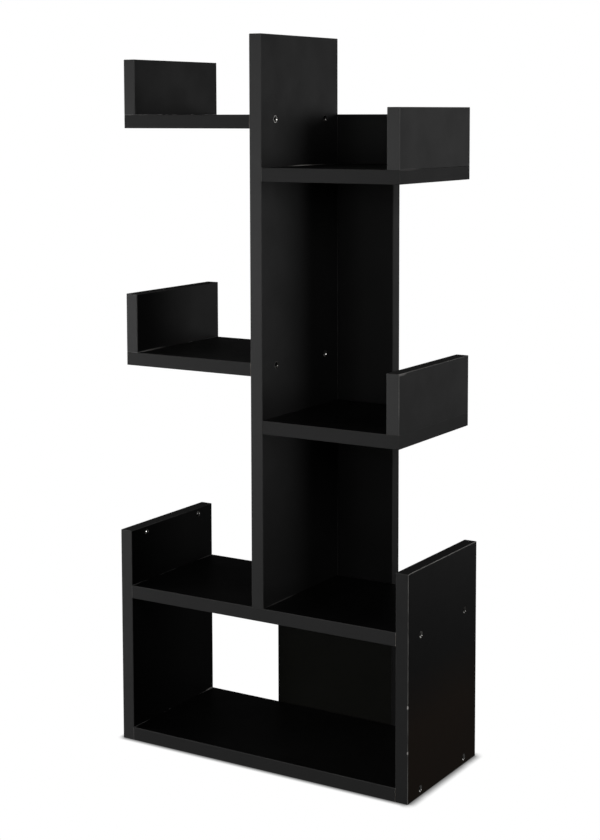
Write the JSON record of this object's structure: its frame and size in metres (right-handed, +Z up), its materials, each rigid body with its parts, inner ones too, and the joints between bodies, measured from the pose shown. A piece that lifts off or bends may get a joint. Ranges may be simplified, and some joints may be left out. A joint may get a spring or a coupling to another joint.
{
  "type": "tree shaped bookshelf",
  "caption": "Free-standing bookshelf of black boards: a low open box carries an upright trunk with short shelves branching left and right, each with an end panel.",
  "frame": {"origin": "middle of the bounding box's underside, on the floor", "axes": "+X to the bookshelf's right as seen from the front, +Y from the front to the back, +Z up"},
  "size_m": [0.45, 0.213, 0.972],
  "materials": {
    "black_laminate": "satin black laminate on particle board",
    "nickel_plate": "bright nickel plate on steel",
    "beech": "bare turned beech"
  },
  "bodies": {
    "root": {"back_board": "black_laminate", "back_board_screw_bottom_left": "nickel_plate", "back_board_screw_bottom_right": "nickel_plate", "back_board_screw_lower_left": "nickel_plate", "back_board_screw_lower_right": "nickel_plate", "back_board_screw_mid_left": "nickel_plate", "back_board_screw_mid_right": "nickel_plate", "back_board_screw_top_left": "nickel_plate", "back_board_screw_top_right": "nickel_plate", "back_board_screw_trunk_lower": "nickel_plate", "back_board_screw_trunk_upper": "nickel_plate", "bottom_shelf": "black_laminate", "end_panel_screw_mid_left_back": "nickel_plate", "end_panel_screw_mid_left_front": "nickel_plate", "end_panel_screw_mid_right_back": "nickel_plate", "end_panel_screw_mid_right_front": "nickel_plate", "end_panel_screw_top_left_back": "nickel_plate", "end_panel_screw_top_left_front": "nickel_plate", "end_panel_screw_top_right_back": "nickel_plate", "end_panel_screw_top_right_front": "nickel_plate", "left_side": "black_laminate", "left_side_dowel_bottom": "beech", "left_side_dowel_lower": "beech", "left_side_screw_bottom_back": "nickel_plate", "left_side_screw_bottom_front": "nickel_plate", "left_side_screw_lower_back": "nickel_plate", "left_side_screw_lower_front": "nickel_plate", "lower_shelf": "black_laminate", "mid_left_end_panel": "black_laminate", "mid_left_shelf": "black_laminate", "mid_right_end_panel": "black_laminate", "mid_right_shelf": "black_laminate", "right_side": "black_laminate", "right_side_dowel_bottom": "beech", "right_side_dowel_lower": "beech", "right_side_screw_bottom_back": "nickel_plate", "right_side_screw_bottom_front": "nickel_plate", "right_side_screw_lower_back": "nickel_plate", "right_side_screw_lower_front": "nickel_plate", "spare_bore_plug_back": "nickel_plate", "spare_bore_plug_front": "nickel_plate", "top_left_end_panel": "black_laminate", "top_left_shelf": "black_laminate", "top_right_end_panel": "black_laminate", "top_right_shelf": "black_laminate", "trunk": "black_laminate", "trunk_dowel_mid_left": "beech", "trunk_dowel_mid_right": "beech", "trunk_dowel_top_left": "beech", "trunk_dowel_top_right": "beech", "trunk_foot_screw_back": "nickel_plate", "trunk_foot_screw_front": "nickel_plate", "trunk_screw_mid_left_back": "nickel_plate", "trunk_screw_mid_left_front": "nickel_plate", "trunk_screw_mid_right_back": "nickel_plate", "trunk_screw_mid_right_front": "nickel_plate", "trunk_screw_top_left_back": "nickel_plate", "trunk_screw_top_left_front": "nickel_plate", "trunk_screw_top_right_back": "nickel_plate", "trunk_screw_top_right_front": "nickel_plate"}
  },
  "joints": []
}
